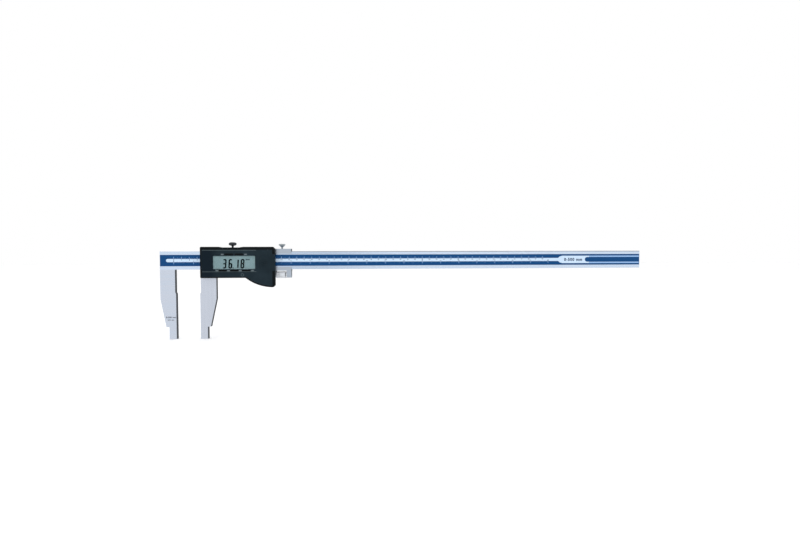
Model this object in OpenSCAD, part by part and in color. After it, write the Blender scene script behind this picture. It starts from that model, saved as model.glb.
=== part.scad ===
// Digital caliper with long nib jaws, 0 to 500 mm, fine adjustment.
// X runs along the beam, Z is up the jaws, Y points away from the reader.
// The origin is at the middle of the fixed measuring face.
// Every sub-part is drawn about the beam's centre line, and on_beam() lifts it into place.

/* [Beam] */
// Length of the beam
beam_len = 660; // [640:1:700]
// Height of the beam
beam_h = 24; // [22:0.5:26]
// Thickness of the beam and of both jaws
beam_t = 8; // [7:0.5:9]
// Distance from the beam's left end to the measuring face
jaw_w = 20; // [18:0.5:22]
// Height of the printed scale band
band_h = 15; // [12:0.5:15]

/* [Jaws] */
// Opening between the measuring faces at rest
opening = 31; // [5:0.5:45]
// Depth of the jaws below the beam's centre line
jaw_depth = 104; // [90:1:120]
// Width of the sliding jaw's body
slide_jaw_w = 21; // [18:0.5:22]
// Width of one nib, so that two closed nibs measure twice this
nib_w = 10; // [8:0.5:12]
// Height of the nib's narrow tip
nib_h = 16; // [10:1:24]
// How far the face steps back above the measuring zone
relief = 1; // [0.5:0.1:1.5]

/* [Display head] */
// Width of the display case
case_w = 96; // [94:1:98]
// Height of the case above the beam's centre line
case_top = 17.8; // [17:0.1:18]
// Depth of the case below the beam's centre line
case_bottom = 23.1; // [22.5:0.1:24]
// Distance from the beam's front face to the case's front
case_front = 9.5; // [9.5:0.1:10]
// Width of the display window
window_w = 54; // [50:1:54]
// Height of the display window
window_h = 17.5; // [16:0.1:17.5]
// Width of each key
key_w = 10.5; // [8:0.5:11]
// Height of each key
key_h = 2.4; // [2:0.1:2.6]

/* [Fine adjustment] */
// Length of the fine adjustment block
block_len = 24; // [22:1:26]
// Diameter of the knurled nut
nut_d = 9; // [8:0.5:9]
// Diameter of the fine adjustment screw
rod_d = 4; // [3:0.5:4]

/* [Hidden] */
$fn = 64;
run = 0.05;      // running clearance beside the beam
seat = 0.02;     // clearance of pieces that are fixed in place
eps = 0.01;

beam_left = -jaw_w;
beam_right = beam_left + beam_len;
beam_top = beam_h / 2;
beam_face = beam_t / 2;

// Fixed jaw's outline, measured from the measuring face
shoulder_z = -jaw_depth + nib_h;
taper_z = -51;
taper_w = 13;
relief_z = -42;
relief_slope = 2;

// Height of the beam's centre line above the middle of the measuring face
beam_z = (jaw_depth - relief_z + relief_slope) / 2;

// Printed scale, set in a shallow groove
groove_depth = 0.5;
groove_inset = 0.3;
groove_left = beam_left + groove_inset;
groove_right = beam_right - groove_inset;
strip_t = 0.3;
label_t = 0.15;

// Metal slider
frame_left = opening + 2;
frame_right = 124;
frame_top = 15;
frame_bottom = -21;
frame_wall_front = 2;
frame_wall_back = 2.5;
frame_front = -beam_face - run - frame_wall_front;
frame_back = beam_face + run + frame_wall_back;
gib_t = 1.2;
gib_gap = 0.1;
gib_end_gap = 3;
gib_side_gap = 0.5;
channel_top = beam_top + run + gib_t + gib_gap;
sensor_left = 43;
sensor_right = 111;
sensor_half_h = 8.75;
gib_screw_x = [44, 113];
gib_screw_r = 1.25;
gib_screw_recess = 0.15;
bush_r = 3.25;
bush_flange_r = 3.8;

// Locking screws: each has a pad that presses on the beam side
lock_x = 73;
lock_stem_r = 1.4;
lock_gap = 0.26;
lock_head_z = 19.2;
lock_head_r = 5;
lock_head_h = 4.2;
lock_rim_h = 3.2;
pad_h = 0.85;

// Case, layer by layer from the metal frame to the front
case_left = opening + 3;
case_right = case_left + case_w;
case_y = -beam_face - case_front;
back_t = 1.2;
back_y = frame_front - back_t;
front_wall = 1.6;
inner_y = case_y + front_wall;
side_wall = 1.6;
cavity_top = 14.7;
panel_t = 0.35;
panel_recess = 0.4;
panel_y = case_y + panel_recess;
fin_x = case_right - 2.5;
fin_r = 56.7;
fin_z = 21;
fin_start = fin_x - 40;
dip_left = 57.5;
dip_right = 89.3;
dip_depth = 0.8;
dip_slope = 5;
bush_top = case_top - dip_depth;
chamfer = 2.5;
corner_r = 1.6;
panel_left = case_left + 2;
panel_right = case_right - 3.5;
panel_top = 13.8;
panel_bottom = -case_bottom + 1.5;
panel_fin_x = fin_x - 36;
panel_fin_inset = 1.8;
case_screw_at = [[38.5, 12.2], [121, 12.2], [39.5, -13.2], [112.5, -19]];
case_screw_r = 0.98;
case_screw_tip = -beam_face - 0.2;
case_screw_head_r = 1.9;
case_screw_head_h = 1.05;
pillar_r = 2.6;

// Display
window_left = 50.4;
window_bottom = -11.6;
window_lip = 0.5;
lcd_front = inner_y + 0.1;
lcd_t = 2.2;
lcd_margin = [2, 0.35];

// Carrier behind the display and the keys, with the rubber key sheet on its front
carrier_y = lcd_front + lcd_t;
carrier_left = 44;
carrier_right = 109.5;
carrier_bottom = -18.5;
carrier_top = 12;
sheet_t = 1.2;
sheet_inset = 1;

// Opening through the carrier and the case's back, for the connector and the chip
opening_left = 50;
opening_right = 104;
opening_bottom = -7;
opening_top = 5.8;
connector_h = 1.8;
connector_inset = 3;
connector_drop = 0.4;

// Keys: two above the window and three below it
key_travel = 0.4;
key_proud = 0.5;
key_gap = 0.1;
key_flange_t = 0.6;
key_flange_w = 0.6;
key_flange_min = 0.05;
key_row_gap = [0.7, 0.6];
key_at = [
    [70.9, window_bottom + window_h + key_row_gap[0]],
    [84, window_bottom + window_h + key_row_gap[0]],
    [62.7, window_bottom - key_row_gap[1] - key_h],
    [77.7, window_bottom - key_row_gap[1] - key_h],
    [92.7, window_bottom - key_row_gap[1] - key_h]
];

// Electronics
board_front = -5.6;
board_back = -4.6;
board_inset = 0.1;
board_screw_at = [[46, 4], [108, 4]];
board_screw_r = 0.78;
board_screw_head_r = 1.5;
board_screw_head_h = 0.35;
board_screw_front = -7;
board_boss_r = 2.2;
chip_at = [70, -6];
chip_size = [10, 8];
chip_t = 1.4;
battery_at = [119, -3];
battery_r = 5.8;
battery_t = 5.4;
battery_back = -6.45;
battery_step = 0.6;
battery_rim = 1;
battery_gap = 0.3;
contact_t = 0.28;
contact_w = 2.8;
contact_pad_r = 4;
contact_left = 107;
spring_x = [114, 122];
spring_z = 3;
spring_front = -11.2;

// Battery cover: slides off to the right
cover_left = 112;
cover_top = 8;
cover_bottom = -14;
cover_skin = 1.4;
cover_rail_h = 0.9;
cover_rail_t = 0.65;
cover_rib = 0.8;
cover_lip_y = -9;
cover_lip_t = 1.5;
cover_rail_right = case_right - 2;

// Fine adjustment
block_left = 126.5;
block_right = block_left + block_len;
block_top = 15.4;
block_lip_front = -5.3;
block_lip_z = 9;
bridge_bottom = -14;
rod_end_wall = 0.7;
ear_left_w = 4;
ear_right_w = 6.3;
ear_t = 7.8;
rod_z = -19.5;
rod_left = 108;
rod_right = 147.5;
ear_r = 4;
ear_end_gap = 0.1;
clamp_x = 138;
clamp_stem_r = 1.2;
clamp_head_z = 17.5;
clamp_head_r = 4.35;
clamp_head_h = 4.4;
clamp_rim_h = 2;
nut_gap = 0.05;

// End stop on the beam's back
stop_x = beam_right - 13;
stop_w = 10;
stop_h = 18;
stop_t = 2;
stop_screw_z = 5;
stop_screw_r = 1.25;
stop_screw_head_h = 1.2;

// Every sub-part, each built on its own

// ---------- helpers ----------

// Lifts what is drawn about the beam's centre line into place
module on_beam() {
    translate([0, 0, beam_z])
        children();
}

// Extrudes a flat shape drawn in X and Z between two depths
module slab(y0, y1) {
    translate([0, y1, 0])
        rotate([90, 0, 0])
            linear_extrude(y1 - y0)
                children();
}

// Box from one corner to the opposite corner
module box(low, high) {
    translate(low)
        cube(high - low);
}

// Rectangle in X and Z from one corner to the opposite corner
module rect(x0, z0, x1, z1) {
    translate([x0, z0])
        square([x1 - x0, z1 - z0]);
}

// Round bar along Y at a place in X and Z
module bar_y(at, r, y0, y1) {
    slab(y0, y1)
        translate(at)
            circle(r);
}

// Round bar along X at the height of the fine adjustment screw
module bar_x(r, x0, x1) {
    translate([x0, 0, rod_z])
        rotate([0, 90, 0])
            cylinder(r = r, h = x1 - x0);
}

// ---------- beam and jaws ----------

module jaw_outline(top, body_w) {
    polygon([
        [0, -jaw_depth],
        [0, relief_z - relief_slope],
        [-relief, relief_z],
        [-relief, top],
        [-body_w, top],
        [-body_w, taper_z],
        [-taper_w, shoulder_z],
        [-nib_w, shoulder_z],
        [-nib_w, -jaw_depth]
    ]);
}

// Jaw whose measuring face is at X = 0 and whose body lies on the left of it
module jaw(top, body_w) {
    intersection() {
        slab(-beam_face, beam_face)
            jaw_outline(top, body_w);
        union() {
            box([-body_w - 1, -beam_t, shoulder_z], [1, beam_t, 0]);
            translate([0, 0, -jaw_depth - 1])
                cylinder(r = nib_w, h = nib_h + 1);
        }
    }
}

module beam() {
    color("lightsteelblue")
        difference() {
            union() {
                box([beam_left, -beam_face, -beam_top], [beam_right, beam_face, beam_top]);
                jaw(-beam_top + 1, jaw_w);
            }
            box(
                [groove_left, -beam_face - 1, -band_h / 2 - seat],
                [groove_right, -beam_face + groove_depth, band_h / 2 + seat]
            );
            for (side = [-1, 1])
                bar_y([stop_x + stop_w / 2, side * stop_screw_z], stop_screw_r + seat, 0, beam_face + 1);
        }
}

module stator_strip() {
    color("darkgoldenrod")
        box(
            [groove_left + seat, -beam_face + groove_depth - strip_t, -band_h / 2],
            [groove_right - seat, -beam_face + groove_depth, band_h / 2]
        );
}

module scale_label() {
    color("steelblue")
        box(
            [groove_left + seat, -beam_face + groove_depth - strip_t - label_t, -band_h / 2],
            [groove_right - seat, -beam_face + groove_depth - strip_t, band_h / 2]
        );
}

module end_stop() {
    color("silver")
        difference() {
            box([stop_x, beam_face, -stop_h / 2], [stop_x + stop_w, beam_face + stop_t, stop_h / 2]);
            for (side = [-1, 1])
                bar_y(
                    [stop_x + stop_w / 2, side * stop_screw_z],
                    stop_screw_r + run, beam_face - 1, beam_face + stop_t + 1
                );
        }
}

module end_stop_screws() {
    color("dimgray")
        for (side = [-1, 1]) {
            bar_y([stop_x + stop_w / 2, side * stop_screw_z], stop_screw_r, 1, beam_face + stop_t);
            bar_y(
                [stop_x + stop_w / 2, side * stop_screw_z],
                2 * stop_screw_r, beam_face + stop_t, beam_face + stop_t + stop_screw_head_h
            );
        }
}

// ---------- metal slider ----------

module slider_frame() {
    color("lightsteelblue")
        difference() {
            union() {
                box([frame_left, frame_front, frame_bottom], [frame_right, frame_back, frame_top]);
                translate([opening, 0, 0])
                    mirror([1, 0, 0])
                        jaw(frame_bottom + 1, slide_jaw_w);
                box(
                    [opening + relief, -beam_face, frame_bottom],
                    [frame_left + 1, beam_face, -beam_top - run]
                );
                bar_x(ear_r, rod_left, frame_right);
            }
            // the beam's channel, with room for the gib above the beam
            box(
                [frame_left - 1, -beam_face - run, -beam_top - run],
                [frame_right + 1, beam_face + run, channel_top]
            );
            // window for the sensor
            box(
                [sensor_left, frame_front - 1, -sensor_half_h],
                [sensor_right, -beam_face, sensor_half_h]
            );
            for (x = gib_screw_x)
                translate([x, 0, 0])
                    cylinder(r = gib_screw_r + seat, h = frame_top + 1);
            translate([lock_x, 0, 0])
                cylinder(r = bush_r + seat, h = frame_top + 1);
            for (at = case_screw_at)
                bar_y(at, case_screw_r + seat, frame_front - 1, case_screw_tip + 0.1);
            bar_x(rod_d / 2 + seat, rod_left - 1, frame_right + 1);
        }
}

module gib_strip() {
    color("goldenrod")
        box(
            [frame_left + gib_end_gap, -beam_face + gib_side_gap, beam_top + run],
            [frame_right - gib_end_gap, beam_face - gib_side_gap, beam_top + run + gib_t]
        );
}

module gib_screws() {
    color("dimgray")
        for (x = gib_screw_x)
            translate([x, 0, beam_top + run + gib_t + seat])
                cylinder(r = gib_screw_r, h = frame_top - beam_top - run - gib_t - gib_screw_recess);
}

module lock_bush() {
    color("darkslategray")
        difference() {
            union() {
                translate([lock_x, 0, channel_top])
                    cylinder(r = bush_r, h = frame_top - channel_top + eps);
                translate([lock_x, 0, frame_top])
                    cylinder(r = bush_flange_r, h = bush_top - frame_top);
            }
            translate([lock_x, 0, channel_top - 1])
                cylinder(r = lock_stem_r + run, h = bush_top);
        }
}

// Pad that a locking screw pushes down
module screw_pad(x, bottom, r) {
    translate([x, 0, bottom])
        cylinder(r = r, h = pad_h);
}

// Locking screw with a flared, dished head
module thumb_screw(x, bottom, stem_r, head_z, head_r, head_h, rim_h) {
    top = head_z + head_h;
    edge = rim_h / 4;
    flare_r = head_r * 0.42;
    dish_r = head_r * 0.45;
    dish_depth = head_h * 0.3;
    translate([x, 0, 0])
        rotate_extrude()
            polygon([
                [0, bottom],
                [stem_r, bottom],
                [stem_r, head_z],
                [flare_r, head_z + head_h / 10],
                [head_r - edge, top - rim_h],
                [head_r, top - rim_h + edge],
                [head_r, top - edge],
                [head_r - edge, top],
                [dish_r, top - dish_depth],
                [0, top - dish_depth]
            ]);
}

module lock_pad() {
    color("goldenrod")
        screw_pad(lock_x, beam_top + run + gib_t + lock_gap, lock_stem_r);
}

module lock_screw() {
    color("darkslategray")
        thumb_screw(
            lock_x, beam_top + run + gib_t + lock_gap + pad_h + seat,
            lock_stem_r, lock_head_z, lock_head_r, lock_head_h, lock_rim_h
        );
}

// ---------- case ----------

// Outline of the case in X and Z, moved inwards by an inset
module case_outline(inset, top) {
    difference() {
        union() {
            rect(case_left + inset, -case_bottom + inset, case_right - inset, top);
            intersection() {
                translate([fin_x, fin_z])
                    circle(fin_r - inset);
                rect(fin_start, fin_z - fin_r, case_right - inset, 0);
            }
        }
        children();
    }
}

// What the case's outer outline loses: the dip, the chamfers and the rounded left corners
module case_outline_cuts() {
    polygon([
        [dip_left, case_top + 1],
        [dip_left, case_top],
        [dip_left + dip_slope, case_top - dip_depth],
        [dip_right - dip_slope, case_top - dip_depth],
        [dip_right, case_top],
        [dip_right, case_top + 1]
    ]);
    polygon([
        [case_right - chamfer, case_top],
        [case_right, case_top - chamfer],
        [case_right + 1, case_top + 1]
    ]);
    polygon([
        [case_right - chamfer, fin_z - fin_r],
        [case_right, fin_z - fin_r + chamfer],
        [case_right + 1, fin_z - fin_r - 1]
    ]);
    for (end = [[case_top, -1], [-case_bottom, 1]])
        difference() {
            translate([case_left, end[0] + end[1] * corner_r / 2])
                square([corner_r * 2, corner_r], center = true);
            translate([case_left + corner_r, end[0] + end[1] * corner_r])
                circle(corner_r);
        }
}

// Outline of the thin face panel, grown for the recess that holds it
module panel_outline(grow) {
    difference() {
        union() {
            rect(panel_left - grow, panel_bottom - grow, panel_right + grow, panel_top + grow);
            intersection() {
                translate([fin_x, fin_z])
                    circle(fin_r - panel_fin_inset + grow);
                rect(panel_fin_x - grow, fin_z - fin_r, panel_right + grow, 0);
            }
        }
        rect(cover_left - run, cover_bottom - run, case_right + 1, cover_top + run);
    }
}

module key_outline(at, grow) {
    rect(at[0] - key_w / 2 - grow, at[1] - grow, at[0] + key_w / 2 + grow, at[1] + key_h + grow);
}

module window_outline(grow) {
    rect(
        window_left - grow, window_bottom - grow / 2.5,
        window_left + window_w + grow, window_bottom + window_h + grow / 2.5
    );
}

module case_back() {
    color("darkslategray")
        difference() {
            union() {
                slab(back_y, frame_front)
                    case_outline(0, case_top)
                        case_outline_cuts();
                for (at = board_screw_at)
                    bar_y(at, board_boss_r, back_y, board_front);
            }
            slab(back_y - 1, frame_front + 1) {
                rect(opening_left, opening_bottom, opening_right, opening_top + 0.5);
                rect(
                    opening_right - 1, battery_at[1] - contact_w / 2 - 0.2,
                    battery_at[0], battery_at[1] + contact_w / 2 + 0.2
                );
                translate(battery_at)
                    circle(battery_r + battery_gap);
                for (at = case_screw_at)
                    translate(at)
                        circle(case_screw_r + run);
            }
            for (at = board_screw_at)
                bar_y(at, board_screw_r + seat, board_screw_front - 0.1, board_front + 1);
        }
}

module display_case() {
    color("darkslategray")
        difference() {
            union() {
                difference() {
                    slab(case_y, back_y)
                        case_outline(0, case_top)
                            case_outline_cuts();
                    slab(inner_y, back_y + 1)
                        case_outline(side_wall, cavity_top)
                            polygon([
                                [case_right - chamfer - 1, fin_z - fin_r],
                                [case_right, fin_z - fin_r + chamfer + 1],
                                [case_right + 1, fin_z - fin_r - 1]
                            ]);
                }
                for (at = case_screw_at)
                    bar_y(at, pillar_r, inner_y - eps, back_y);
            }
            slab(case_y - 1, panel_y)
                panel_outline(run);
            slab(case_y - 1, inner_y + 1)
                window_outline(window_lip);
            for (at = key_at)
                slab(case_y - 1, inner_y + 1)
                    key_outline(at, key_gap);
            for (at = case_screw_at) {
                bar_y(at, case_screw_head_r + 0.1, case_y - 1, panel_y + case_screw_head_h);
                bar_y(at, case_screw_r + 0.1, case_y - 1, back_y + 1);
            }
            // opening for the battery cover, its lip and its rails
            box(
                [cover_left - run, case_y - 1, cover_bottom - run],
                [case_right + 1, inner_y + eps, cover_top + run]
            );
            box(
                [case_right - side_wall - eps, case_y - 1, cover_bottom - run],
                [case_right + 1, cover_lip_y + run, cover_top + run]
            );
            box(
                [
                    case_right - side_wall - eps,
                    inner_y - eps,
                    cover_bottom - cover_rail_h - run
                ],
                [
                    case_right + 1,
                    inner_y + cover_rail_t + 0.1,
                    cover_top + cover_rail_h + run
                ]
            );
        }
}

module case_screws() {
    color("dimgray")
        for (at = case_screw_at) {
            bar_y(at, case_screw_r, panel_y + case_screw_head_h / 2, case_screw_tip);
            bar_y(at, case_screw_head_r, panel_y, panel_y + case_screw_head_h);
        }
}

module front_panel() {
    color("midnightblue")
        difference() {
            slab(panel_y - panel_t, panel_y)
                panel_outline(0);
            slab(case_y - 1, panel_y + 1) {
                window_outline(0);
                for (at = key_at)
                    key_outline(at, key_gap);
            }
        }
}

// ---------- display and keys ----------

module display_window() {
    color("lightblue", 0.4)
        slab(panel_y + 0.1, inner_y)
            window_outline(window_lip - run);
}

module lcd_panel() {
    color("darkseagreen")
        slab(lcd_front, lcd_front + lcd_t)
            rect(
                window_left - lcd_margin[0], window_bottom - lcd_margin[1],
                window_left + window_w + lcd_margin[0], window_bottom + window_h + lcd_margin[1]
            );
}

module connector_strip() {
    color("palevioletred")
        box(
            [opening_left + connector_inset, carrier_y + run, opening_top - connector_drop - connector_h],
            [opening_right - connector_inset, board_front, opening_top - connector_drop]
        );
}

module display_carrier() {
    color("dimgray")
        difference() {
            box([carrier_left, carrier_y, carrier_bottom], [carrier_right, back_y, carrier_top]);
            box(
                [opening_left, carrier_y - 1, opening_bottom],
                [opening_right, back_y + 1, opening_top]
            );
        }
}

module keypad_sheet() {
    color("gray")
        difference() {
            box(
                [carrier_left + sheet_inset, carrier_y - sheet_t, carrier_bottom + sheet_inset],
                [carrier_right, carrier_y, carrier_top - sheet_inset]
            );
            slab(carrier_y - sheet_t - 1, carrier_y + 1)
                rect(
                    window_left - lcd_margin[0] - run, window_bottom - lcd_margin[1] - run,
                    window_left + window_w + lcd_margin[0] + run,
                    window_bottom + window_h + lcd_margin[1] + run
                );
        }
}

// Key cap with a flange that keeps it behind the case's front wall
module key(at) {
    above_window = at[1] > 0;
    flange_below = above_window ? key_flange_w / 2 - key_flange_min : key_flange_w;
    flange_above = above_window ? key_flange_w : key_flange_min;
    color("black")
        union() {
            slab(case_y - key_proud, inner_y + run + eps)
                key_outline(at, 0);
            slab(inner_y + run, inner_y + run + key_flange_t)
                rect(
                    at[0] - key_w / 2 - key_flange_w, at[1] - flange_below,
                    at[0] + key_w / 2 + key_flange_w, at[1] + key_h + flange_above
                );
        }
}

module key_upper_left() {
    key(key_at[0]);
}

module key_upper_right() {
    key(key_at[1]);
}

module key_lower_left() {
    key(key_at[2]);
}

module key_lower_middle() {
    key(key_at[3]);
}

module key_lower_right() {
    key(key_at[4]);
}

// ---------- electronics ----------

module circuit_board() {
    color("darkgreen")
        difference() {
            box(
                [sensor_left + board_inset, board_front, -sensor_half_h + run],
                [sensor_right - board_inset, board_back, sensor_half_h - run]
            );
            for (at = board_screw_at)
                bar_y(at, board_screw_r + run, board_front - 1, board_back + 1);
        }
}

module board_screws() {
    color("silver")
        for (at = board_screw_at) {
            bar_y(at, board_screw_r, board_screw_front, board_back);
            bar_y(at, board_screw_head_r, board_back, board_back + board_screw_head_h);
        }
}

module controller_chip() {
    color("black")
        box(
            [chip_at[0], board_front - chip_t, chip_at[1]],
            [chip_at[0] + chip_size[0], board_front, chip_at[1] + chip_size[1]]
        );
}

module battery_cell() {
    color("silver")
        union() {
            bar_y(battery_at, battery_r, battery_back - battery_t, battery_back - battery_step);
            bar_y(battery_at, battery_r - battery_rim, battery_back - battery_step - eps, battery_back);
        }
}

// Flat contact behind the cell and a spring contact above it, each bent towards its tail
module battery_contacts() {
    contact_y = battery_back + seat;
    contact_z = [battery_at[1] - contact_w / 2, battery_at[1] + contact_w / 2];
    color("gold") {
        union() {
            bar_y(battery_at, contact_pad_r, contact_y, contact_y + contact_t);
            box(
                [contact_left, contact_y, contact_z[0]],
                [battery_at[0], contact_y + contact_t, contact_z[1]]
            );
            box(
                [contact_left, contact_y, contact_z[0]],
                [contact_left + contact_w / 2, board_front, contact_z[1]]
            );
        }
        union() {
            box(
                [spring_x[0], spring_front, spring_z],
                [spring_x[1], back_y - seat, spring_z + contact_t]
            );
            box(
                [spring_x[0], back_y - seat - contact_t, spring_z],
                [spring_x[1], back_y - seat, 2 * spring_z]
            );
        }
    }
}

module battery_cover() {
    skin_back = case_y + cover_skin;
    rail_front = inner_y + run;
    color("midnightblue")
        union() {
            box([cover_left, case_y, cover_bottom], [case_right, skin_back, cover_top]);
            box(
                [case_right - cover_lip_t, case_y, cover_bottom],
                [case_right, cover_lip_y, cover_top]
            );
            for (edge = [[cover_top, -1], [cover_bottom, 1]]) {
                rib_z = [edge[0], edge[0] + edge[1] * cover_rib];
                box(
                    [cover_left, case_y, min(rib_z)],
                    [cover_rail_right, rail_front + cover_rail_t, max(rib_z)]
                );
                rail_z = [edge[0] + edge[1] * cover_rib, edge[0] - edge[1] * cover_rail_h];
                box(
                    [cover_left, rail_front, min(rail_z)],
                    [cover_rail_right, rail_front + cover_rail_t, max(rail_z)]
                );
            }
        }
}

// ---------- fine adjustment ----------

module fine_screw() {
    color("silver")
        bar_x(rod_d / 2, rod_left, rod_right);
}

// Ear that holds one side of the nut, with a rounded end
module ear(x0, x1) {
    box([x0, -ear_t / 2, rod_z], [x1, ear_t / 2, -beam_top - run]);
    bar_x(ear_r - ear_end_gap, x0, x1);
}

module fine_block() {
    ear_right_left = block_right - ear_right_w;
    color("lightgray")
        difference() {
            union() {
                box([block_left, block_lip_front, bridge_bottom], [block_right, frame_back, block_top]);
                ear(block_left, block_left + ear_left_w);
                ear(ear_right_left, block_right);
            }
            box(
                [block_left - 1, -beam_face - run, -beam_top - run],
                [block_right + 1, beam_face + run, beam_top + run]
            );
            box(
                [block_left - 1, block_lip_front - 1, -block_lip_z],
                [block_right + 1, 0, block_lip_z]
            );
            bar_x(rod_d / 2 + run, block_left - 1, block_right - rod_end_wall);
            translate([clamp_x, 0, 0])
                cylinder(r = clamp_stem_r + run, h = block_top + 1);
        }
}

module fine_nut() {
    color("silver")
        difference() {
            bar_x(
                nut_d / 2,
                block_left + ear_left_w + nut_gap, block_right - ear_right_w - nut_gap
            );
            bar_x(rod_d / 2 + run, block_left, block_right);
        }
}

module fine_clamp_pad() {
    color("goldenrod")
        screw_pad(clamp_x, beam_top + lock_gap, clamp_stem_r);
}

module fine_clamp_screw() {
    color("silver")
        thumb_screw(
            clamp_x, beam_top + lock_gap + pad_h + seat,
            clamp_stem_r, clamp_head_z, clamp_head_r, clamp_head_h, clamp_rim_h
        );
}

on_beam() beam();
on_beam() stator_strip();
on_beam() scale_label();
on_beam() end_stop();
on_beam() end_stop_screws();
on_beam() slider_frame();
on_beam() gib_strip();
on_beam() gib_screws();
on_beam() lock_bush();
on_beam() lock_pad();
on_beam() lock_screw();
on_beam() case_back();
on_beam() display_case();
on_beam() case_screws();
on_beam() front_panel();
on_beam() display_window();
on_beam() lcd_panel();
on_beam() connector_strip();
on_beam() display_carrier();
on_beam() keypad_sheet();
on_beam() circuit_board();
on_beam() board_screws();
on_beam() controller_chip();
on_beam() key_upper_left();
on_beam() key_upper_right();
on_beam() key_lower_left();
on_beam() key_lower_middle();
on_beam() key_lower_right();
on_beam() battery_cell();
on_beam() battery_contacts();
on_beam() battery_cover();
on_beam() fine_screw();
on_beam() fine_block();
on_beam() fine_nut();
on_beam() fine_clamp_pad();
on_beam() fine_clamp_screw();
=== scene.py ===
"""Looks of a digital caliper with long nib jaws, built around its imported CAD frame."""

import math

import bmesh
import bpy
from mathutils import Matrix, Vector


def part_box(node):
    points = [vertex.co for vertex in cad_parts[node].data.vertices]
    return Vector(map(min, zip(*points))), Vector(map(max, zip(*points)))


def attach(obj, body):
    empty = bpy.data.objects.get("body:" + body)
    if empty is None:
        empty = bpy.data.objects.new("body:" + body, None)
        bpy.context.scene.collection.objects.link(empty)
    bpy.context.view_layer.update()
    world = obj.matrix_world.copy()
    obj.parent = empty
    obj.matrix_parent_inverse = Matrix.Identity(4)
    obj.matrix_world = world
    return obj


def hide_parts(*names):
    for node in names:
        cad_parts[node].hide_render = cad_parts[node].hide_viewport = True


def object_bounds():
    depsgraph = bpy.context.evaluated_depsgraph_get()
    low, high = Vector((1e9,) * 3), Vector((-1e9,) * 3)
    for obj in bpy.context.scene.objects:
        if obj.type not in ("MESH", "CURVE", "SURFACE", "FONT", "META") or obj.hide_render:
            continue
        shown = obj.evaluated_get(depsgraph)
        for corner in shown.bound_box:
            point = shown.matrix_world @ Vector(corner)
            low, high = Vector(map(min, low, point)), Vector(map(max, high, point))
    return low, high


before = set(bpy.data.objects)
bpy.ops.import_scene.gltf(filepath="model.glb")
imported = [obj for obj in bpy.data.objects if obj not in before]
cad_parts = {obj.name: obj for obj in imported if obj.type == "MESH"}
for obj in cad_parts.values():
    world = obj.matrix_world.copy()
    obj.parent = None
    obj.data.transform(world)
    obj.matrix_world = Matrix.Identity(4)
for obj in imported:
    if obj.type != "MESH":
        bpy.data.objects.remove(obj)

CAD_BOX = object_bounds()
MM = 0.001

# ---------- places and sizes that several sections share ----------

BEAM_LOW, BEAM_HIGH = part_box("beam")
LABEL_LOW, LABEL_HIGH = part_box("scale_label")
PANEL_LOW, PANEL_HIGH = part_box("front_panel")
NUT_LOW, NUT_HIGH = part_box("fine_nut")
LCD_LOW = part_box("lcd_panel")[0]
COVER_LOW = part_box("battery_cover")[0]

BAND_Z = (LABEL_LOW.z + LABEL_HIGH.z) / 2  # also the beam's middle height
BEAM_BOTTOM_Z = 2 * BAND_Z - BEAM_HIGH.z
BAND_FRONT = LABEL_LOW.y
SCALE_ZERO_X = -2.3 * MM  # the zero of both rows of marks
NUT_GROOVE = (NUT_HIGH.x - 1.9 * MM, NUT_HIGH.x - 0.8 * MM)  # its two ends along X
PRINT_T = 0.015 * MM  # one layer of ink
BOLD = 0.04  # how far the outline of printed text grows, as a share of the font's size


# ---------- material helpers ----------


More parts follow.
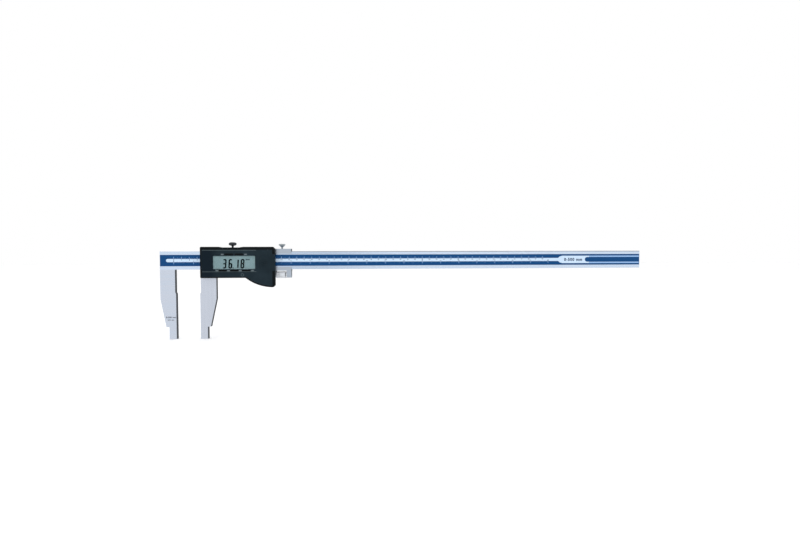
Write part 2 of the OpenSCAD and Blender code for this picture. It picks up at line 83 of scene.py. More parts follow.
class Shader:
    """A node material under construction, with short calls for the nodes that repeat."""

    def __init__(self, name):
        self.material = bpy.data.materials.new(name)
        self.material.use_nodes = True
        self.nodes = self.material.node_tree.nodes
        self.links = self.material.node_tree.links
        self.body = self.nodes["Principled BSDF"]
        self.place = self.nodes.new("ShaderNodeTexCoord").outputs["Object"]

    def stretched(self, scale):
        """The object's coordinates, multiplied by a scale on each axis."""
        mapping = self.nodes.new("ShaderNodeMapping")
        mapping.inputs["Scale"].default_value = scale
        self.links.new(self.place, mapping.inputs["Vector"])
        return mapping.outputs["Vector"]

    def noise(self, scale, detail=3.0, stretch=(1, 1, 1), roughness=0.55):
        node = self.nodes.new("ShaderNodeTexNoise")
        node.inputs["Scale"].default_value = scale
        node.inputs["Detail"].default_value = detail
        node.inputs["Roughness"].default_value = roughness
        self.links.new(self.stretched(stretch), node.inputs["Vector"])
        return node.outputs["Fac"]

    def axis(self, name):
        """The object's own X, Y or Z."""
        split = self.nodes.new("ShaderNodeSeparateXYZ")
        self.links.new(self.place, split.inputs[0])
        return split.outputs[name]

    def facing_right(self, start):
        """1 on faces that look along +X, and 0 where the normal's X is start or less."""
        split = self.nodes.new("ShaderNodeSeparateXYZ")
        geometry = self.nodes.new("ShaderNodeNewGeometry")
        self.links.new(geometry.outputs["True Normal"], split.inputs[0])
        square_on = 0.9
        return self.levels(split.outputs["X"], start, square_on)

    def levels(self, source, low, high, out_low=0.0, out_high=1.0):
        """Maps a source from low and high to out_low and out_high, and holds it beyond them."""
        node = self.nodes.new("ShaderNodeMapRange")
        node.inputs["From Min"].default_value = low
        node.inputs["From Max"].default_value = high
        node.inputs["To Min"].default_value = out_low
        node.inputs["To Max"].default_value = out_high
        self.links.new(source, node.inputs["Value"])
        return node.outputs["Result"]

    def blend(self, factor, a, b):
        """The colour a where the factor is 0, and b where it is 1."""
        node = self.nodes.new("ShaderNodeMix")
        node.data_type = "RGBA"
        for key, value in ((6, a), (7, b)):
            if isinstance(value, tuple):
                node.inputs[key].default_value = (*value, 1.0)
            else:
                self.links.new(value, node.inputs[key])
        self.links.new(factor, node.inputs[0])
        return node.outputs[2]

    def math(self, operation, a, b):
        node = self.nodes.new("ShaderNodeMath")
        node.operation = operation
        for i, value in enumerate((a, b)):
            if isinstance(value, (int, float)):
                node.inputs[i].default_value = value
            else:
                self.links.new(value, node.inputs[i])
        return node.outputs[0]

    def edges(self, radius):
        """1 along sharp convex edges and 0 on flats."""
        bevel = self.nodes.new("ShaderNodeBevel")
        bevel.samples = 4
        bevel.inputs["Radius"].default_value = radius
        geometry = self.nodes.new("ShaderNodeNewGeometry")
        dot = self.nodes.new("ShaderNodeVectorMath")
        dot.operation = "DOT_PRODUCT"
        self.links.new(bevel.outputs["Normal"], dot.inputs[0])
        self.links.new(geometry.outputs["Normal"], dot.inputs[1])
        flat, sharp = 0.995, 0.86
        return self.levels(dot.outputs["Value"], flat, sharp)

    def bumps(self, *layers):
        """Stacks (height, strength, distance) layers into one normal."""
        normal = None
        for height, strength, distance in layers:
            node = self.nodes.new("ShaderNodeBump")
            node.inputs["Strength"].default_value = strength
            node.inputs["Distance"].default_value = distance
            self.links.new(height, node.inputs["Height"])
            if normal is not None:
                self.links.new(normal, node.inputs["Normal"])
            normal = node.outputs["Normal"]
        self.links.new(normal, self.body.inputs["Normal"])

    def set(self, **values):
        """Sets or links inputs of the Principled node. Their names have _ in place of spaces."""
        for key, value in values.items():
            socket = self.body.inputs[key.replace("_", " ")]
            if hasattr(value, "is_output"):
                self.links.new(value, socket)
            elif isinstance(value, tuple):
                socket.default_value = (*value, 1.0)
            else:
                socket.default_value = value


def scaled(values, factor):
    """A colour or a grain with each of its values multiplied by a factor."""
    return tuple(v * factor for v in values)


def paler(colour, factor, lift):
    """A colour multiplied by a factor and then raised by a lift."""
    return tuple(min(1.0, c * factor + lift) for c in colour)


DARK_EDGE_START = (20 * MM, 60 * MM)
DARK_EDGE_Z = (BEAM_HIGH.z - 1.0 * MM, BEAM_HIGH.z - 0.6 * MM)
DARK_EDGE = (0.15, 0.15, 0.17)
# Painted shade on the beam: a soft darker stretch that fades in and out over these X ranges, at this
# strength and colour, for the shade around the slider's right end.
PAINTED_SHADE_START = (60 * MM, 120 * MM)
PAINTED_SHADE_END = (200 * MM, 290 * MM)
PAINTED_SHADE_STRENGTH = 0.35
PAINTED_SHADE_COLOUR = (0.2, 0.28, 0.4)
# Painted shade for steel faces that look along +X.
PAINTED_SIDE_SHADE = (0.07, 0.075, 0.085)


def darkened_beam(s, colour):
    """Darkens the beam's top edge and paints shade on the stretch of the beam around the slider's right
    end.
    """
    right_of_jaw = s.levels(s.axis("X"), *DARK_EDGE_START)
    on_edge = s.levels(s.axis("Z"), *DARK_EDGE_Z)
    colour = s.blend(s.math("MULTIPLY", right_of_jaw, on_edge), colour, DARK_EDGE)
    # Painted shade: over this stretch the beam's colour is pulled towards a shaded blue-grey.
    start = s.levels(s.axis("X"), *PAINTED_SHADE_START)
    end = s.levels(s.axis("X"), *PAINTED_SHADE_END, PAINTED_SHADE_STRENGTH, 0.0)
    return s.blend(s.math("MULTIPLY", start, end), colour, PAINTED_SHADE_COLOUR)


def ground_steel(name, base, grain, rough=0.24, jaw_base=None, dark_from=0.6):
    """Ground stainless steel. grain is the scale of its scratches on each axis, and they run along
    the axis with the smallest one. A jaw_base is the finish of what hangs below the beam, and with it
    the beam's top edge is darkened and a stretch of the beam gets painted shade. Faces that look along
    +X, with more than dark_from of X in their normal, get painted shade: a near-black colour for the
    side faces that turn away from the lights."""
    s = Shader(name)
    scratches = s.noise(1.0, 4.0, grain, 0.7)
    streaks = s.noise(1.0, 2.0, scaled(grain, 0.16))
    cloud = s.noise(22.0, 4.0)
    stain = s.levels(s.noise(75.0, 6.0, roughness=0.7), 0.62, 0.8)
    colour = s.blend(s.levels(scratches, 0.3, 0.7), scaled(base, 0.95), base)
    if jaw_base:
        below = s.levels(s.axis("Z"), BEAM_BOTTOM_Z - 1 * MM, BEAM_BOTTOM_Z + 1 * MM, 1.0, 0.0)
        colour = darkened_beam(s, s.blend(below, colour, jaw_base))
    clouded = s.levels(cloud, 0.35, 0.65, 0, 0.15)
    streaked = s.levels(streaks, 0.35, 0.65, 0, 0.3)
    colour = s.blend(s.math("ADD", clouded, streaked), colour, scaled(base, 0.86))
    colour = s.blend(s.math("MULTIPLY", stain, 0.05), colour, scaled(base, 0.6))
    colour = s.blend(s.math("MULTIPLY", s.edges(0.35 * MM), 0.1), colour, (0.9, 0.91, 0.93))
    # Painted shade: faces that look along +X are pulled towards a near-black steel colour.
    side_shade = s.math("MULTIPLY", s.facing_right(dark_from), 0.85)
    colour = s.blend(side_shade, colour, PAINTED_SIDE_SHADE)
    fine_rough = s.levels(scratches, 0.2, 0.8, rough - 0.06, rough + 0.08)
    roughness = s.math("ADD", fine_rough, s.levels(cloud, 0.3, 0.7, 0, 0.05))
    s.set(Base_Color=colour, Metallic=1.0, Roughness=roughness)
    s.bumps((scratches, 0.3, 0.003 * MM))
    return s.material


def moulded(
    name, base, rough, texture_scale, texture_depth, wear_colour, wear=0.3, sheen=0.5, left_base=None
):
    """Moulded plastic or rubber with a fine spark-eroded texture and rubbed edges. texture_depth is
    in millimetres. A left_base is the colour to the left of the display."""
    s = Shader(name)
    grain = s.noise(texture_scale, 3.0, roughness=0.6)
    cloud = s.noise(40.0, 5.0)
    dust = s.levels(s.noise(900.0, 2.0), 0.68, 0.78)
    colour = s.blend(s.levels(cloud, 0.3, 0.7), base, paler(base, 1.5, 0.004))
    if left_base:
        beside = s.levels(s.axis("X"), LCD_LOW.x - 1 * MM, LCD_LOW.x + 9 * MM, 1.0, 0.0)
        colour = s.blend(beside, colour, left_base)
    colour = s.blend(s.math("MULTIPLY", dust, 0.03), colour, (0.5, 0.5, 0.5))
    rubbed = s.math("MULTIPLY", s.edges(0.6 * MM), wear)
    colour = s.blend(rubbed, colour, wear_colour)
    roughness = s.levels(cloud, 0.3, 0.7, rough - 0.05, rough + 0.06)
    s.set(Base_Color=colour, Roughness=roughness, Specular_IOR_Level=sheen)
    s.bumps((cloud, 0.2, 0.02 * MM), (grain, 0.5, texture_depth * MM))
    return s.material


def printed(name, base, rough=0.35, sheen=0.15):
    """Ink on foil: even colour with faint fading and a slightly uneven gloss."""
    s = Shader(name)
    cloud = s.noise(60.0, 4.0)
    fine = s.noise(1500.0, 2.0)
    colour = s.blend(s.levels(cloud, 0.3, 0.7, 0.0, 0.12), base, paler(base, 1.35, 0.01))
    gloss = s.levels(fine, 0.3, 0.7, rough - 0.05, rough + 0.05)
    s.set(Base_Color=colour, Roughness=gloss, Specular_IOR_Level=sheen)
    s.bumps((fine, 0.15, 0.004 * MM))
    return s.material


def machined(
    name, base, rough, metallic=1.0, wear_colour=(0.9, 0.9, 0.92), wear=0.35, painted_shade_groove=None
):
    """Machined metal with fine tool marks and worn edges. The last argument, if given, is the
    stretch along X that gets painted shade, a near-black colour for the shade inside a groove."""
    s = Shader(name)
    marks = s.noise(3500.0, 2.0, (0.2, 0.2, 1.0))
    cloud = s.noise(160.0, 4.0)
    colour = s.blend(s.levels(cloud, 0.3, 0.7), scaled(base, 0.8), base)
    colour = s.blend(s.math("MULTIPLY", s.edges(0.2 * MM), wear), colour, wear_colour)
    # Painted shade inside the groove: this stretch along X is coloured near black.
    if painted_shade_groove:
        start, end = painted_shade_groove
        blur = 0.05 * MM
        after = s.levels(s.axis("X"), start, start + blur)
        before = s.levels(s.axis("X"), end - blur, end, 0.9, 0.0)
        colour = s.blend(s.math("MULTIPLY", after, before), colour, (0.05, 0.055, 0.065))
    roughness = s.levels(marks, 0.3, 0.7, rough - 0.05, rough + 0.07)
    s.set(Base_Color=colour, Metallic=metallic, Roughness=roughness)
    s.bumps((marks, 0.3, 0.004 * MM))
    return s.material


def clear_window():
    """Clear plastic that bends light very little, with faint smudges."""
    s = Shader("window_lens")
    smudge = s.noise(120.0, 4.0)
    s.set(
        Base_Color=(0.93, 0.97, 0.96), Transmission_Weight=1.0, IOR=1.12,
        Specular_IOR_Level=0.35, Roughness=s.levels(smudge, 0.3, 0.8, 0.0, 0.05),
    )
    s.bumps((smudge, 0.05, 0.01 * MM))
    return s.material


def lcd_glass():
    """The display's grey-blue ground, a little cloudy."""
    s = Shader("lcd_glass")
    fine = s.noise(2600.0, 2.0)
    cloud = s.noise(35.0, 3.0)
    colour = s.blend(s.levels(cloud, 0.3, 0.7), (0.215, 0.32, 0.355), (0.26, 0.375, 0.415))
    s.set(Base_Color=colour, Roughness=s.levels(fine, 0.3, 0.7, 0.3, 0.42))
    s.bumps((fine, 0.1, 0.003 * MM))
    return s.material


# The noise scale of ground scratches on each axis.
ALONG_X = (120, 2600, 2600)
ALONG_Z = (2600, 2600, 90)

JAW_STEEL = (0.645, 0.69, 0.785)

# Colours are linear red, green and blue.
MATERIALS = {
    "beam": ground_steel("beam_steel", (0.68, 0.80, 0.97), ALONG_X, jaw_base=JAW_STEEL),
    "slider_steel": ground_steel("slider_steel", JAW_STEEL, ALONG_Z),
    "fine_steel": ground_steel("fine_steel", (0.48, 0.54, 0.62), ALONG_X, 0.3, dark_from=0.3),
    "nut_chrome": machined("nut_chrome", (0.88, 0.91, 0.95), 0.36, 0.5, painted_shade_groove=NUT_GROOVE),
    "grey_steel": machined("grey_steel", (0.46, 0.50, 0.52), 0.34),
    "bright": machined("bright_steel", (0.80, 0.82, 0.87), 0.28),
    "black_oxide": machined("black_oxide", (0.055, 0.06, 0.068), 0.34, 0.75, (0.3, 0.31, 0.33), 0.4),
    "brass": machined("brass", (0.74, 0.55, 0.25), 0.28, 1.0, (0.9, 0.75, 0.45)),
    "nickel": machined("nickel", (0.7, 0.69, 0.66), 0.18),
    "case": moulded(
        "case_plastic", (0.0015, 0.003, 0.004), 0.5, 2600.0, 0.012, (0.03, 0.04, 0.046), 0.6, 0.06,
    ),
    "panel": moulded(
        "panel_sheet", (0.006, 0.014, 0.02), 0.45, 3600.0, 0.005, (0.02, 0.035, 0.045), sheen=0.1,
        left_base=(0.002, 0.008, 0.015),
    ),
    "cover": moulded(
        "cover_plastic", (0.006, 0.014, 0.02), 0.5, 2600.0, 0.01, (0.02, 0.032, 0.04), sheen=0.1,
    ),
    "key": moulded(
        "key_rubber", (0.0015, 0.003, 0.004), 0.6, 1800.0, 0.02, (0.01, 0.012, 0.014), sheen=0.06,
    ),
    "rubber": moulded("grey_rubber", (0.30, 0.30, 0.32), 0.6, 1800.0, 0.02, (0.4, 0.4, 0.4)),
    "board": printed("circuit_board", (0.01, 0.12, 0.05), 0.3),
    "chip": moulded("chip_resin", (0.015, 0.015, 0.015), 0.35, 2000.0, 0.01, (0.06, 0.06, 0.06)),
    "blue_print": printed("blue_print", (0.005, 0.056, 0.178), sheen=0.08),
    "white_print": printed("white_print", (0.55, 0.69, 0.86), 0.4),
    "pale_print": printed("pale_print", (0.27, 0.44, 0.72), 0.4),
    "dark_print": printed("dark_print", (0.01, 0.03, 0.09), 0.4),
    "grey_print": printed("grey_print", (0.155, 0.19, 0.205), 0.4),
    # Also the colour of the painted highlights along the face panel's edges.
    "faint_ink_and_highlight": printed("faint_ink_and_highlight", (0.10, 0.13, 0.14), 0.4),
    "etched": printed("etched_mark", (0.025, 0.03, 0.05), 0.6),
    "ink": printed("lcd_ink", (0.003, 0.008, 0.010), 0.45, sheen=0.05),
    "lens": clear_window(),
    "lcd": lcd_glass(),
}


# ---------- geometry helpers ----------


def new_piece(name, mesh, body, material, smooth=None):
    """A piece of the object's looks. Faces that meet at less than smooth degrees are shaded as one."""
    piece = bpy.data.objects.new(name, mesh)
    bpy.context.scene.collection.objects.link(piece)
    piece.data.materials.clear()
    piece.data.materials.append(MATERIALS[material])
    if smooth is not None:
        for polygon in mesh.polygons:
            polygon.use_smooth = True
        mesh.set_sharp_from_angle(angle=math.radians(smooth))
    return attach(piece, body)


def add_box(bm, low, high):
    """A thin printed or raised bar between two corners."""
    corners = [
        bm.verts.new((x, y, z))
        for x in (low[0], high[0])
        for y in (low[1], high[1])
        for z in (low[2], high[2])
    ]
    for side in ((0, 1, 3, 2), (4, 6, 7, 5), (0, 4, 5, 1), (2, 3, 7, 6), (0, 2, 6, 4), (1, 5, 7, 3)):
        bm.faces.new([corners[i] for i in side])


def add_prism(bm, points, y_front, y_back):
    """A flat shape given in X and Z, with its front at y_front and its back at y_back."""
    front = [bm.verts.new((x, y_front, z)) for x, z in points]
    back = [bm.verts.new((x, y_back, z)) for x, z in points]
    bm.faces.new(front)
    bm.faces.new(list(reversed(back)))
    count = len(points)
    for i in range(count):
        j = (i + 1) % count
        bm.faces.new((front[j], front[i], back[i], back[j]))


def finished(bm, name):
    """The mesh of a bmesh, with all its faces turned outwards."""
    bmesh.ops.recalc_face_normals(bm, faces=bm.faces[:])
    mesh = bpy.data.meshes.new(name)
    bm.to_mesh(mesh)
    bm.free()
    return mesh


def arc(centre, radius, start, end, steps=12):
    """Points of a circle's arc in X and Z, from one angle to another in degrees."""
    turns = [math.radians(start + (end - start) * i / steps) for i in range(steps + 1)]
    return [(centre[0] + radius * math.cos(t), centre[1] + radius * math.sin(t)) for t in turns]


def add_text(bm, text, height, centre_x, centre_z, y_front, y_back):
    """Text as flat printed shapes, height tall and centred on a point in X and Z."""
    curve = bpy.data.curves.new("text", "FONT")
    curve.body = text
    curve.size = 1.0
    curve.offset = BOLD
    curve.space_character = 1 + 4 * BOLD
    curve.resolution_u = 4
    holder = bpy.data.objects.new("text", curve)
    bpy.context.scene.collection.objects.link(holder)
    evaluated = holder.evaluated_get(bpy.context.evaluated_depsgraph_get())
    flat = bmesh.new()
    flat.from_mesh(evaluated.to_mesh())
    evaluated.to_mesh_clear()
    bpy.data.objects.remove(holder)
    bpy.data.curves.remove(curve)
    low_x = min(v.co.x for v in flat.verts)
    high_x = max(v.co.x for v in flat.verts)
    low_y = min(v.co.y for v in flat.verts)
    high_y = max(v.co.y for v in flat.verts)
    scale = height / (high_y - low_y)
    old = {}
    for v in flat.verts:
        x = centre_x + (v.co.x - (low_x + high_x) / 2) * scale
        z = centre_z + (v.co.y - (low_y + high_y) / 2) * scale
        old[v.index] = (bm.verts.new((x, y_front, z)), bm.verts.new((x, y_back, z)))
    for f in flat.faces:
        bm.faces.new([old[v.index][0] for v in f.verts])
        bm.faces.new([old[v.index][1] for v in reversed(f.verts)])
    for e in flat.edges:
        if len(e.link_faces) == 1:
            a, b = (old[v.index] for v in e.verts)
            bm.faces.new((a[0], b[0], b[1], a[1]))
    flat.free()


def dense(outline, step):
    """The same outline with its points at most one step apart."""
    points = [outline[0]]
    for (r0, h0), (r1, h1) in zip(outline, outline[1:]):
        across, up = r1 - r0, h1 - h0
        count = max(1, math.ceil(math.hypot(across, up) / step))
        points += [(r0 + across * i / count, h0 + up * i / count) for i in range(1, count + 1)]
    return points


def revolve(outline, place, segments, cuts=(), closed=False):
    """Turns an outline of (radius, height) into a solid. place(a, b, height) gives a point from its
    two distances across the axis and its height along it. Each cut takes metal off the outside."""
    bm = bmesh.new()
    rings = []
    for radius, height in outline:
        ring = []
        for i in range(segments if radius > 0 else 1):
            turn = 2 * math.pi * i / segments
            r = radius - sum(cut(turn, radius, height) for cut in cuts)
            ring.append(bm.verts.new(place(r * math.cos(turn), r * math.sin(turn), height)))
        rings.append(ring)
    following = rings[1:] + (rings[:1] if closed else [])
    for a, b in zip(rings, following):
        for i in range(segments):
            j = i + 1
            corners = (a[i % len(a)], a[j % len(a)], b[j % len(b)], b[i % len(b)])
            bm.faces.new(list(dict.fromkeys(corners)))
    return bm


def knurl(teeth, depth, least_radius, low, high, cross=0.0):
    """Grooves between two heights. cross is how many grooves they lean over in a millimetre."""
    run_out = 0.25 * MM

    def cut(turn, radius, height):
        if radius < least_radius or not low < height < high:
            return 0.0
        lean = 2 * math.pi * cross * height / MM
        grooves = [(0.5 + 0.5 * math.cos(turn * teeth + side * lean)) ** 2 for side in (-1, 1)]
        return depth * max(grooves) * min(1.0, (height - low) / run_out, (high - height) / run_out)

    return cut


def thread(pitch, depth, greatest_radius, low, high):
    """A right-hand thread between two heights, on the parts that are thin enough."""

    def cut(turn, radius, height):
        if radius > greatest_radius or not low < height < high:
            return 0.0
        return depth * (0.5 + 0.5 * math.cos(2 * math.pi * height / pitch - turn))

    return cut


# ---------- the CAD nodes that keep their shape ----------

# Each node's material and how far its sharp edges are rounded, in millimetres.
CAD_LOOKS = {
    "beam": ("beam", 0.35), "stator_strip": ("board", 0), "scale_label": ("blue_print", 0),
    "end_stop": ("bright", 0.3), "end_stop_screws": ("black_oxide", 0.15),
    "slider_frame": ("slider_steel", 0.4), "gib_strip": ("brass", 0.1), "gib_screws": ("black_oxide", 0.1),
    "lock_bush": ("black_oxide", 0.2), "lock_pad": ("brass", 0.1),
    "case_back": ("case", 0.25), "display_case": ("case", 1.1), "case_screws": ("black_oxide", 0.1),
    "front_panel": ("panel", 0.1), "display_window": ("lens", 0.1), "lcd_panel": ("lcd", 0),
    "connector_strip": ("rubber", 0), "display_carrier": ("case", 0.1), "keypad_sheet": ("rubber", 0.1),
    "circuit_board": ("board", 0), "board_screws": ("bright", 0), "controller_chip": ("chip", 0.1),
    "key_upper_left": ("key", 0.3), "key_upper_right": ("key", 0.3), "key_lower_left": ("key", 0.3),
    "key_lower_middle": ("key", 0.3), "key_lower_right": ("key", 0.3),
    "battery_cell": ("nickel", 0.3), "battery_contacts": ("brass", 0.05), "battery_cover": ("cover", 0.2),
    "fine_block": ("fine_steel", 0.9), "fine_clamp_pad": ("brass", 0.1),
}


def soften(piece, width):
    """Rounds the sharp edges of a CAD node with modifiers, which leave its mesh as packed."""
    weld = piece.modifiers.new("weld", "WELD")
    weld.merge_threshold = 0.002 * MM
    bevel = piece.modifiers.new("bevel", "BEVEL")
    bevel.width = width * MM
    bevel.segments = 3
    bevel.limit_method = "ANGLE"
    bevel.angle_limit = math.radians(35)
    bevel.harden_normals = True
    bevel.use_clamp_overlap = True


def dress_cad_nodes():
    """Gives each CAD node its material and its rounded edges."""
    for node, (material, edge) in CAD_LOOKS.items():
        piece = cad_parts[node]
        piece.data.materials.clear()
        piece.data.materials.append(MATERIALS[material])
        if edge:
            soften(piece, edge)


# ---------- screws and nut ----------

THREAD_PITCH = 0.5 * MM
THREAD_DEPTH = 0.16 * MM
FINE_STEP = 0.1 * MM
ROD_SEGMENTS = 32

LOCK_STEM_R = 1.4 * MM
LOCK_HEAD_H = 4.2 * MM
LOCK_RIM_H = 3.2 * MM
LOCK_CROWN = 0.8 * MM
LOCK_TEETH = 30
CLAMP_STEM_R = 1.2 * MM
CLAMP_HEAD_H = 4.4 * MM
CLAMP_RIM_H = 2.0 * MM
CLAMP_TEETH = 26

NUT_BORE_R = 2.06 * MM
NUT_CHAMFER = 0.5 * MM
NUT_GROOVE_DEPTH = 1.6 * MM
NUT_TEETH = 36
NUT_TOOTH_DEPTH = 0.28 * MM
NUT_CROSSING = 0.9
NUT_STEP = 0.12 * MM


def upright(x):
    """Places a revolved shape on the vertical axis through the beam's middle at x."""
    return lambda a, b, height: (x + a, b, height)


def lengthwise(z):
    """Places a revolved shape on the axis along X at height z."""
    return lambda a, b, height: (height, a, z + b)


def thumb_screw(node, material, slot, stem_r, head_h, rim_h, teeth, crown=0.0):
    """Threaded stem with a conical head and a knurled rim. The head's end is domed by its crown,
    or dished if it has none."""
    low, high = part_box(node)
    head_r = (high.x - low.x) / 2
    neck_r = head_r * 0.42
    top = high.z
    head_z = top - head_h
    rim_z = top - rim_h
    edge = rim_h / 4
    tip = 0.25 * MM
    rounding = [
        (head_r - edge + edge * math.sin(turn), top - edge + edge * math.cos(turn))
        for turn in (1.2, 0.8, 0.4, 0.0)
    ]
    if crown:
        slope_r, flat_r = head_r * 0.66, head_r * 0.4
        middle = [(slope_r, top + crown * 0.7), (flat_r, top + crown), (0, top + crown)]
    else:
        lip_r, flat_r = head_r * 0.72, head_r * 0.45
        dish_z = top - head_h * 0.3
        middle = [(lip_r, top - 0.1 * MM), (flat_r, dish_z), (0, dish_z)]
    outline = [
        (0, low.z), (stem_r - tip, low.z), (stem_r, low.z + tip), (stem_r, head_z),
        (neck_r, head_z + head_h / 10), (head_r - edge, rim_z),
        (head_r, rim_z + edge), (head_r, top - edge),
        *rounding, *middle,
    ]
    tooth_depth = 0.35 * MM
    knurled_r = head_r * 0.86
    cuts = (
        knurl(teeth, tooth_depth, knurled_r, rim_z, top - 0.05 * MM),
        thread(THREAD_PITCH, THREAD_DEPTH, stem_r, low.z + tip, head_z - 0.3 * MM),
    )
    place = upright((low.x + high.x) / 2)
    segments = teeth * 5
    bm = revolve(dense(outline, FINE_STEP), place, segments, cuts)
    piece = new_piece(f"{node}_turned", finished(bm, node), node, material, smooth=40)
    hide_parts(node)


def locking_screw():
    shape = (LOCK_STEM_R, LOCK_HEAD_H, LOCK_RIM_H, LOCK_TEETH, LOCK_CROWN)
    thumb_screw("lock_screw", "black_oxide", "black_screws", *shape)


def clamp_screw():
    shape = (CLAMP_STEM_R, CLAMP_HEAD_H, CLAMP_RIM_H, CLAMP_TEETH)
    thumb_screw("fine_clamp_screw", "grey_steel", "nut_chrome", *shape)


def adjusting_nut():
    """Nut with a crossed knurl, chamfered ends and a groove near its right end."""
    left, right = NUT_LOW.x, NUT_HIGH.x
    groove_left, groove_right = NUT_GROOVE
    radius = (NUT_HIGH.z - NUT_LOW.z) / 2
    end_r = radius - NUT_CHAMFER
    waist = radius - NUT_GROOVE_DEPTH
    outline = [
        (NUT_BORE_R, left), (end_r, left), (radius, left + NUT_CHAMFER),
        (radius, groove_left), (waist, groove_left), (waist, groove_right), (radius, groove_right),
        (radius, right - NUT_CHAMFER), (end_r, right), (NUT_BORE_R, right), (NUT_BORE_R, left),
    ]
    knurled_r = radius - 0.01 * MM
    between = (left + NUT_CHAMFER, groove_left)
    cuts = (knurl(NUT_TEETH, NUT_TOOTH_DEPTH, knurled_r, *between, NUT_CROSSING),)
    points = dense(outline, NUT_STEP)[:-1]
    place = lengthwise((NUT_LOW.z + NUT_HIGH.z) / 2)
    segments = NUT_TEETH * 6
    bm = revolve(points, place, segments, cuts, closed=True)
    mesh = finished(bm, "fine_nut")
    piece = new_piece("fine_nut_turned", mesh, "fine_nut", "nut_chrome", smooth=40)
    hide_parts("fine_nut")


def adjusting_screw():
    """Threaded rod between the slider and the clamp block."""
    low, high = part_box("fine_screw")
    radius = (high.z - low.z) / 2
    tip = 0.5 * MM
    outline = [
        (0, low.x), (radius - tip, low.x), (radius, low.x + tip),
        (radius, high.x - tip), (radius - tip, high.x), (0, high.x),
    ]
    cuts = (thread(THREAD_PITCH, THREAD_DEPTH, radius, low.x + tip, high.x - tip),)
    place = lengthwise((low.z + high.z) / 2)
    bm = revolve(dense(outline, FINE_STEP), place, ROD_SEGMENTS, cuts)
    mesh = finished(bm, "fine_screw")
    piece = new_piece("fine_screw_threaded", mesh, "slider", "bright", smooth=50)
    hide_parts("fine_screw")


# ---------- marks on the head and the jaw ----------

# Each row's height, and where its marks stand along X in millimetres.
KEY_MARK_ROWS = (
    (BAND_Z + 7.8 * MM, (62.4, 92.2)),
    (BAND_Z - 13.4 * MM, (55.5, 70.2, 85.2, 101.0)),
)
MARK_W = 3.6 * MM
MARK_BAR_H = 0.6 * MM
MARK_BAR_OFFSET = 0.45 * MM

# Painted highlights: two thin light lines where the panel's upper edge and a ledge below the keys catch
# the light.
HIGHLIGHT_H = 0.4 * MM
UPPER_HIGHLIGHT_Z = PANEL_HIGH.z - 0.5 * MM
LOWER_HIGHLIGHT_Z = BAND_Z - 14.9 * MM
HIGHLIGHT_START_X = PANEL_LOW.x + 0.6 * MM
HIGHLIGHT_END_X = PANEL_LOW.x + 70 * MM
RING_CENTRE = (88 * MM, BAND_Z - 19 * MM)
RING_OUTER_R = 1.9 * MM
RING_INNER_R = 1.5 * MM

RIB_COUNT = 5
RIB_START_X = COVER_LOW.x + 2.2 * MM
RIB_PITCH = 1.3 * MM
RIB_W = 0.5 * MM
RIB_RISE = 0.2 * MM
RIB_Z = BAND_Z - 3 * MM
RIB_HALF_H = 3.2 * MM
RIB_SHORTER = 0.25 * MM  # how much each rib's half loses to its neighbour nearer the middle

JAW_TEXT_X = -7.0 * MM
JAW_TEXTS = (("0-500 mm", 2.1 * MM, BAND_Z - 75.0 * MM), ("0.01 mm", 1.6 * MM, BAND_Z - 78.5 * MM))


def key_marks():
    """Two short bars beside each key, in place of its label."""
    bm = bmesh.new()
    for z, places in KEY_MARK_ROWS:
        for x in places:
            left, right = x * MM - MARK_W / 2, x * MM + MARK_W / 2
            for offset in (-MARK_BAR_OFFSET, MARK_BAR_OFFSET):
                low = (left, PANEL_LOW.y - PRINT_T, z + offset - MARK_BAR_H / 2)
                add_box(bm, low, (right, PANEL_LOW.y, z + offset + MARK_BAR_H / 2))
    new_piece("key_marks", finished(bm, "key_marks"), "slider", "grey_print")


def face_lines():
    """Thin light lines above and below the display, which are painted highlights along the panel's upper
    edge and a ledge below the keys, and a small printed ring below the right-hand keys.
    """
    bm = bmesh.new()
    front, back = PANEL_LOW.y - PRINT_T / 2, PANEL_LOW.y
    # Painted highlights: the two light lines along the panel's upper edge and the ledge below the keys.
    for z in (UPPER_HIGHLIGHT_Z, LOWER_HIGHLIGHT_Z):
        add_box(bm, (HIGHLIGHT_START_X, front, z - HIGHLIGHT_H / 2), (HIGHLIGHT_END_X, back, z + HIGHLIGHT_H / 2))
    steps = 40
    outer = arc(RING_CENTRE, RING_OUTER_R, 0, 360, steps)
    inner = arc(RING_CENTRE, RING_INNER_R, 0, 360, steps)
    for i in range(steps):
        add_prism(bm, [outer[i], outer[i + 1], inner[i + 1], inner[i]], front, back)
    new_piece("face_lines", finished(bm, "face_lines"), "slider", "faint_ink_and_highlight")


def cover_grip():
    """Low ribs for a fingertip on the battery cover. The middle rib is the longest."""
    bm = bmesh.new()
    for i in range(RIB_COUNT):
        x = RIB_START_X + RIB_PITCH * i
        half_h = RIB_HALF_H - RIB_SHORTER * abs(i - RIB_COUNT // 2)
        upper = arc((x, RIB_Z + half_h), RIB_W / 2, 0, 180, 6)
        lower = arc((x, RIB_Z - half_h), RIB_W / 2, 180, 360, 6)
        add_prism(bm, upper + lower, COVER_LOW.y - RIB_RISE, COVER_LOW.y)
    mesh = finished(bm, "battery_cover_grip")
    new_piece("battery_cover_grip", mesh, "battery_cover", "cover")


def jaw_marks():
    """The measuring range and the reading step, etched near the fixed nib."""
    bm = bmesh.new()
    layer = (BEAM_LOW.y - PRINT_T, BEAM_LOW.y)
    for text, height, z in JAW_TEXTS:
        add_text(bm, text, height, JAW_TEXT_X, z, *layer)
    new_piece("jaw_marks", finished(bm, "jaw_marks"), "beam", "etched")


# ---------- printed scale ----------

